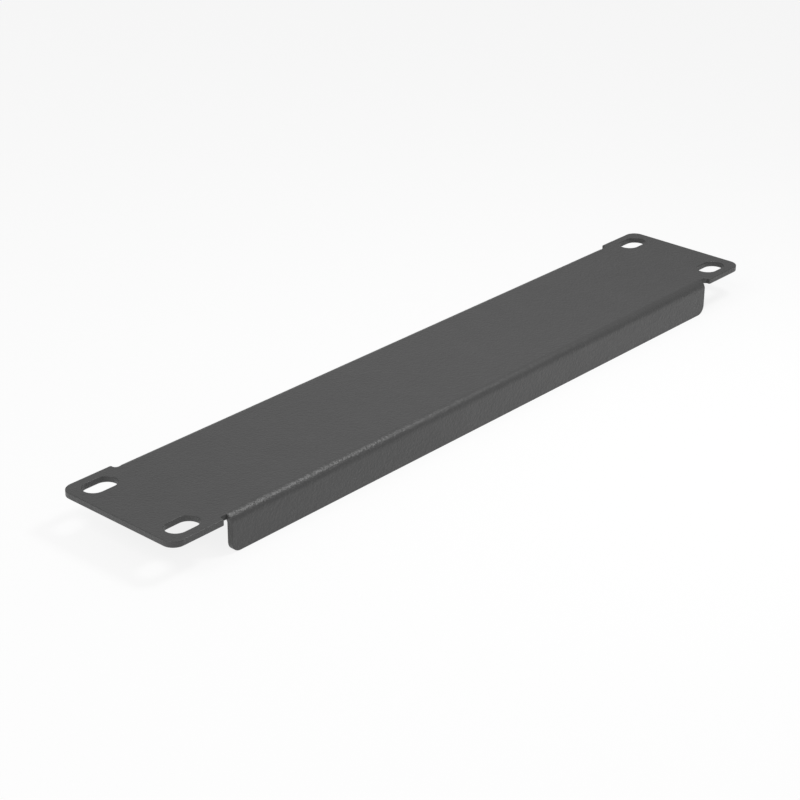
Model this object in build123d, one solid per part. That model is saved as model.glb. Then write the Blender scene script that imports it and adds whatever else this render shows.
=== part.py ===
from build123d import *
import os

# Rack blanking panel, one height unit of a 10-inch rack: one steel sheet, punched, folded twice and coated.
# X runs along the panel, Y up its height once it is fitted, and Z out of its front face.
# The origin is the middle of the slot pattern, on the rear face of the ears, which meets the rails.
# All sizes are in millimetres.

# Sheet and finish: the punch and the coat leave the front rims round, and the rear rims are only broken
steel_thickness = 1.7
coat_thickness = 0.08
front_rim_radius = 0.25
rear_rim_chamfer = 0.15

# Outline of the flat front
panel_length = 254.0
panel_height = 44.0
ear_length = 17.8
ear_corner_radius = 3.7

# Fixing slots, one pair in each ear
slot_to_end = 8.7375
slot_pitch_y = 31.75
slot_length = 10.5
slot_width = 6.5

# Stiffening flanges, folded back along both long edges
flange_depth = 11.3
flange_corner_radius = 2.9
bend_inner_radius = 0.8

# Relief notches, which part the flanges from the ears
relief_width = 2.5
relief_depth = 1.85
relief_corner_radius = 1.1
relief_mouth_radius = 0.5

# What follows from the driving sizes
sheet = steel_thickness + 2 * coat_thickness
half_height = panel_height / 2
ear_start = panel_length / 2 - ear_length
flange_end = ear_start - relief_width
bend_outer_radius = bend_inner_radius + sheet
bend_line = half_height - bend_outer_radius
neck_overlap = 2 * front_rim_radius
slot_pitch_x = panel_length - 2 * slot_to_end

# Two faces that meet at more than 60 degrees make a sharp edge
sharp_cosine = 0.5


def sharp_edges(solid):
    """The edges where two faces meet sharply, so neither seams nor the lines where a bend or a fillet begins."""
    sides = {}
    for face in solid.faces():
        for edge in face.edges():
            sides.setdefault(edge, []).append(face)
    sharp = []
    for edge, (one, other) in sides.items():
        middle = edge.center()
        if abs(one.normal_at(middle).dot(other.normal_at(middle))) < sharp_cosine:
            sharp.append(edge)
    return sharp


def side_windows():
    """What the front's outline lacks along one long side: the two notches, and the strip that is folded back."""
    notches = Rectangle(2 * ear_start, panel_height, align=(Align.CENTER, Align.MIN))
    notches = fillet(notches.vertices().group_by(Axis.Y)[0], relief_corner_radius)
    folded = Rectangle(2 * (flange_end - neck_overlap), panel_height, align=(Align.CENTER, Align.MIN))
    return Pos(0, half_height - relief_depth) * notches + Pos(0, bend_line) * folded


def front_plate():
    """The flat of the sheet: both ears with their slots, the necks beside the notches, and the web."""
    windows = side_windows()
    outline = RectangleRounded(panel_length, panel_height, ear_corner_radius)
    outline = outline - windows - mirror(windows, Plane.XZ)
    mouths = [
        corner
        for corner in outline.vertices()
        if abs(abs(corner.X) - ear_start) + abs(abs(corner.Y) - half_height) < relief_mouth_radius
    ]
    outline = fillet(mouths, relief_mouth_radius)
    outline = outline - GridLocations(slot_pitch_x, slot_pitch_y, 2, 2) * SlotOverall(slot_length, slot_width)
    plate = extrude(outline, sheet)
    rims = plate.edges().filter_by(lambda edge: abs(edge.center().X) > flange_end - neck_overlap / 2)
    plate = fillet(rims.filter_by_position(Axis.Z, sheet, sheet), front_rim_radius)
    rims = plate.edges().filter_by(lambda edge: abs(edge.center().X) > flange_end - neck_overlap / 2)
    return chamfer(rims.filter_by_position(Axis.Z, 0, 0), rear_rim_chamfer)


def channel():
    """The folded part: the web again, the two bends with true inner and outer radii, and the two flanges."""
    outside = Rectangle(panel_height, flange_depth, align=(Align.CENTER, Align.MAX))
    outside = fillet(outside.vertices().group_by(Axis.Y)[-1], bend_outer_radius)
    block = extrude(Plane.YZ * Pos(0, sheet) * outside, flange_end, both=True)
    feet = block.edges().filter_by(Axis.Y).group_by(Axis.Z)[0]
    block = fillet(feet, flange_corner_radius)
    block = fillet(sharp_edges(block), front_rim_radius)
    inside = Rectangle(panel_height - 2 * sheet, flange_depth, align=(Align.CENTER, Align.MAX))
    inside = fillet(inside.vertices().group_by(Axis.Y)[-1], bend_inner_radius)
    folded = block - extrude(Plane.YZ * inside, panel_length, both=True)
    return chamfer(sharp_edges(folded), rear_rim_chamfer)


def blanking_panel():
    """The whole panel. The flat front and the folded channel share the web, so they are one sheet."""
    return front_plate() + channel()


panel = blanking_panel()
os.makedirs("parts", exist_ok=True)
export_step(panel, "parts/blanking_panel.step")
print("size", panel.bounding_box().size, "volume", round(panel.volume, 1), "solids", len(panel.solids()))
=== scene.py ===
# %% [markdown]
# A rack blanking panel closes an empty height unit at the front of an equipment rack. The real one is a
# sheet of steel that is punched flat, folded back along both long edges, and powder coated. The packed
# model has its true shape, holes and rounded rims already, so this script gives it a camera, a table,
# light and a coat. Lengths are in metres, unless their name ends in mm.

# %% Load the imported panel
import bpy
import math
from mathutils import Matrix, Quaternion, Vector


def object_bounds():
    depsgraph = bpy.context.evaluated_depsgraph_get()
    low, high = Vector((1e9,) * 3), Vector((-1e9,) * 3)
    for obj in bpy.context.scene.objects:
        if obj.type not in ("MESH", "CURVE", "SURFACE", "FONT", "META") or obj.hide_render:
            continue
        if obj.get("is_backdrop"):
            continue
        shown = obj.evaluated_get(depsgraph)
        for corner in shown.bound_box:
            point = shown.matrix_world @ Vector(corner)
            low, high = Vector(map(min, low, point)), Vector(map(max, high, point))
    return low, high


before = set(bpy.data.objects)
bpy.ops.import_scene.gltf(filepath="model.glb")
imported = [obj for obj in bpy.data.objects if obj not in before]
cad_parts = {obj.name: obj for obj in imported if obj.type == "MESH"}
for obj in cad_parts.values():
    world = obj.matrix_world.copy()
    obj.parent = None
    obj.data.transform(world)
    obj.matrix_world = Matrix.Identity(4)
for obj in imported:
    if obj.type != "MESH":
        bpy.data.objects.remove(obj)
cad_low, cad_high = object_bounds()
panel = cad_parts["blanking_panel"]
mm_per_metre = 1000
print("panel, in mm:", [round(side * mm_per_metre, 2) for side in cad_high - cad_low])

# %% [markdown]
# The panel was photographed from its front left corner, looking down along it through a long lens, so
# that the far end hardly shrinks. A camera could be placed by typing its coordinates. It is easier to set
# as a photographer thinks: the point that the lens looks at, how far off it stands, how far round, and
# how high.

# %% Stand the camera
aim = Vector((-0.02676, -0.00818, cad_high.z))
distance = 0.5929
turned_left_deg = 48.22
raised_deg = 25.74
tilted_deg = 0.33
lens_mm = 93.27
sensor_mm = 36
nearest = 0.01


def towards(turned, raised):
    """The direction of what stands so many degrees left of the panel's front and so many above it."""
    turned, raised = math.radians(turned), math.radians(raised)
    level = math.cos(raised)
    return Vector((-math.sin(turned) * level, -math.cos(turned) * level, math.sin(raised)))


camera = bpy.data.objects.new("camera", bpy.data.cameras.new("camera"))
bpy.context.scene.collection.objects.link(camera)
back = towards(turned_left_deg, raised_deg)
camera.location = aim + back * distance
camera.rotation_mode = "QUATERNION"
tilt = Quaternion((0, 0, 1), math.radians(tilted_deg))
camera.rotation_quaternion = (-back).to_track_quat("-Z", "Y") @ tilt
camera.data.lens = lens_mm
camera.data.sensor_width = sensor_mm
camera.data.clip_start = nearest
bpy.context.scene.camera = camera
print("camera, in mm:", [round(length * mm_per_metre, 1) for length in camera.location])

# %% [markdown]
# Blender builds a material from nodes, joined by links. Written out one by one, the nodes of even a
# simple sum take a dozen lines. So one small class wraps a socket, and Python's own + and * on it add the
# Math nodes. Its method `node` makes any other node: the settings go in first, because some of them
# change the sockets.

# %% Wrap a socket
class Shade:
    """What comes out of a shader node, for use in Python expressions."""

    def __init__(self, tree, socket):
        self.tree = tree
        self.socket = socket

    def node(self, kind, settings, inputs, output=0):
        """Adds a node of this kind to the same tree, and returns one of its outputs."""
        made = self.tree.nodes.new(kind)
        for name, setting in settings.items():
            setattr(made, name, setting)
        for name, given in inputs.items():
            self.feed(made.inputs[name], given)
        return Shade(self.tree, made.outputs[output])

    def output(self, name):
        """Another output of the node that this shade comes from."""
        return Shade(self.tree, self.socket.node.outputs[name])

    def feed(self, socket, given):
        """Links a shade to a socket, or sets the socket to a plain value."""
        if isinstance(given, Shade):
            self.tree.links.new(given.socket, socket)
        else:
            socket.default_value = given

    def math(self, operation, one, other):
        """A Math node on two shades or numbers."""
        return self.node("ShaderNodeMath", {"operation": operation}, {0: one, 1: other})

    def __add__(self, other):
        return self.math("ADD", self, other)

    def __mul__(self, other):
        return self.math("MULTIPLY", self, other)

    __radd__ = __add__
    __rmul__ = __mul__


print("operators on a shade: + and *, with a shade or a number on either side")

# %% [markdown]
# Every material here starts as Blender's own new one: a Principled shader, linked to the surface. The
# shader comes back wrapped too, so that further nodes can be made from it and its sockets can be set by
# name.

# %% Start a material
def new_material(name):
    """A new material, and its Principled shader as a shade."""
    material = bpy.data.materials.new(name)
    material.use_nodes = True
    tree = material.node_tree
    return material, Shade(tree, tree.nodes["Principled BSDF"].outputs["BSDF"])


def grey(level):
    """A grey of this level, as a colour socket takes it."""
    return level, level, level, 1


print("white is the grey", grey(1))

# %% [markdown]
# The panel stands on a white table that runs out of view on all sides. One large square does for it, at
# the height of the lowest rims of the flanges. It is marked as the stage, because it isn't part of the
# panel.

# %% Lay the table
half_table = 4.0
corners = [(-half_table, -half_table, 0), (half_table, -half_table, 0)]
corners += [(half_table, half_table, 0), (-half_table, half_table, 0)]
table_mesh = bpy.data.meshes.new("table")
table_mesh.from_pydata(corners, [], [(0, 1, 2, 3)])
table = bpy.data.objects.new("table", table_mesh)
table.location.z = cad_low.z
bpy.context.scene.collection.objects.link(table)
table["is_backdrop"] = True
print("table height, in mm:", round(table.location.z * mm_per_metre, 2))

# %% [markdown]
# Lit white paint would come out light grey here. More light would whiten it, but would whiten the panel
# as well. So where the camera or a reflection looks at the table, most of what it sees is plain white.
# The rest is lit paint, which keeps the panel's soft shadow. The light that the table throws up at the
# panel is the paint's. The Mix Shader node has two sockets of one name, so they are given by number.

# %% Paint the table
paint_grey = 0.9
paint_roughness = 0.9
white_share = 0.85
plain_white = 1.0
first_shader, second_shader = 1, 2


def seen(paint):
    """1 for what the camera sees, straight or in a reflection or through glass, and 0 for other light."""
    camera_ray = paint.node("ShaderNodeLightPath", {}, {}, "Is Camera Ray")
    return camera_ray + camera_ray.output("Is Glossy Ray") + camera_ray.output("Is Transmission Ray")


table_paint, paint = new_material("table paint")
paint.feed(paint.socket.node.inputs["Base Color"], grey(paint_grey))
paint.feed(paint.socket.node.inputs["Roughness"], paint_roughness)
white = paint.node("ShaderNodeEmission", {}, {"Color": grey(1), "Strength": plain_white})
shaders = {"Fac": seen(paint) * white_share, first_shader: paint, second_shader: white}
surface = table_paint.node_tree.nodes["Material Output"].inputs["Surface"]
paint.feed(surface, paint.node("ShaderNodeMixShader", {}, shaders))
table_mesh.materials.append(table_paint)
print("share of plain white in the table:", white_share)

# %% [markdown]
# The room is lit as a small product is lit in a studio: softly from all round, so that both folds and all
# the rims read, with no hard shadow. A plain white world gives that light. It is kept well below full
# strength, to leave room for the lamps. The Standard view shows each grey as it is, where Blender's usual
# view would bend it.

# %% Light the room from all round
room_light = 0.33
world = bpy.data.worlds.new("room")
world.use_nodes = True
sky = world.node_tree.nodes["Background"]
sky.inputs["Color"].default_value = grey(1)
sky.inputs["Strength"].default_value = room_light
bpy.context.scene.world = world
bpy.context.scene.view_settings.view_transform = "Standard"
print("light from all round:", room_light)

# %% [markdown]
# Each lamp is an area light, Blender's softbox: the larger it is, the softer its light. A big one far
# behind lifts the flat front a little over the folds. Another, high on the left, lights the end of the
# panel. Lower down it would light the end better still, but seen from the right it would lay a grey glare
# over the whole front. A little one hangs near the left end, where the folded edge mirrors it to the
# camera. Because it is near, the bright line that it draws along the fold is strong at the left and has
# faded before the right end.

# %% Set up the lamps
panel_middle = Vector((0, 0, 0))
left_end = Vector((-0.1, -0.02, 0))


def softbox(name, target, turned, raised, away, wide, tall, watts):
    """A soft light, so many degrees left of its target and above it, and so many metres away."""
    light = bpy.data.lights.new(name, "AREA")
    light.shape = "RECTANGLE"
    light.size = wide
    light.size_y = tall
    light.energy = watts
    lamp = bpy.data.objects.new(name, light)
    side = towards(turned, raised)
    lamp.location = target + side * away
    lamp.rotation_mode = "QUATERNION"
    lamp.rotation_quaternion = (-side).to_track_quat("-Z", "Y")
    lamp.visible_camera = False
    bpy.context.scene.collection.objects.link(lamp)
    print(name, "lamp, in mm:", [round(length * mm_per_metre) for length in lamp.location])


softbox("behind", panel_middle, turned=-150, raised=30, away=1.6, wide=1.5, tall=1.0, watts=1.1)
softbox("left", left_end, turned=88, raised=48, away=0.85, wide=0.7, tall=0.7, watts=4.2)
softbox("little", left_end, turned=-65, raised=54, away=0.35, wide=0.08, tall=0.08, watts=0.52)

# %% [markdown]
# Powder coat is a dry plastic dust, sprayed on and baked until it melts into one skin. This kind sets
# with a fine grain, which hides scratches and breaks up a highlight. An image of the grain would blur
# close by and show its seams. Here it is noise in millimetres on the panel itself, so the grain has its
# real size anywhere.

# %% Measure the coat in millimetres
powder_coat, coat = new_material("textured powder coat")
place = coat.node("ShaderNodeTexCoord", {}, {}, "Object")
scaled = {"Vector": place, "Scale": mm_per_metre}
place_mm = place.node("ShaderNodeVectorMath", {"operation": "SCALE"}, scaled)
softness = 0.5


def spots(size_mm, octaves=2):
    """Soft random spots of about this size, from 0 to 1 with a mean of a half."""
    inputs = {"Vector": place_mm, "Scale": 1 / size_mm, "Detail": octaves, "Roughness": softness}
    return place_mm.node("ShaderNodeTexNoise", {}, inputs)


grain_mm = 0.7
grain = spots(grain_mm)
print("grain, in mm:", grain_mm)

# %% [markdown]
# Two sizes of bump make the coat's surface. The grain is the powder's own texture. Under it lie the
# slower waves that painters call orange peel, where the melt did not quite run level. Both are far too
# fine for the mesh, so a Bump node tilts the light on the smooth steel as their slopes would.

# %% Raise the grain
grain_height_mm = 0.165
peel_mm = 2.0
peel_height_mm = 0.10
full_strength = 1.0
height_mm = grain * grain_height_mm + spots(peel_mm) * peel_height_mm
relief = {"Strength": full_strength, "Distance": 1 / mm_per_metre, "Height": height_mm}
coat.feed(coat.socket.node.inputs["Normal"], height_mm.node("ShaderNodeBump", {}, relief))
print("grain and orange peel, height in mm:", grain_height_mm, peel_height_mm)

# %% [markdown]
# A single grey would look like a drawing. In a real coat the pigment lies a little thinner on the grains
# and drifts over a few centimetres, so the grey wanders by about a tenth. The spots choose between two
# greys. The Mix node has sockets of the same name for each kind of value, so its colours are given by
# number.

# %% Colour the coat
dark_grey = 0.051
light_grey = 0.065
cloud_mm = 9.0
cloud_octaves = 3
grain_part = 0.4
first_colour, second_colour, mixed_colour = 6, 7, 2
tint = spots(cloud_mm, cloud_octaves) * (1 - grain_part) + grain * grain_part
greys = {"Factor": tint, first_colour: grey(dark_grey), second_colour: grey(light_grey)}
colour = tint.node("ShaderNodeMix", {"data_type": "RGBA"}, greys, mixed_colour)
coat.feed(coat.socket.node.inputs["Base Color"], colour)
print("greys:", dark_grey, "to", light_grey)

# %% [markdown]
# The coat is between matt and satin: it shows a soft sheen along the fold and no clear reflection. The
# melt closes better in some places than in others, so the sheen varies in patches and from grain to
# grain.

# %% Dull the coat
least_roughness = 0.36
roughness_swing = 0.06
patch_mm = 3.0
roughness = least_roughness + (spots(patch_mm) + grain) * roughness_swing
coat.feed(coat.socket.node.inputs["Roughness"], roughness)
panel.material_slots[0].material = powder_coat
print("roughness:", least_roughness, "to", round(least_roughness + 2 * roughness_swing, 2))

# %% [markdown]
# Last, the sizes before and after are written down, to show that the finish added nothing to the panel.

# %% Write the sizes and finish
low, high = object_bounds()
grown = (high - low) - (cad_high - cad_low)
print("grown, in mm:", [round(side * mm_per_metre, 3) for side in grown])
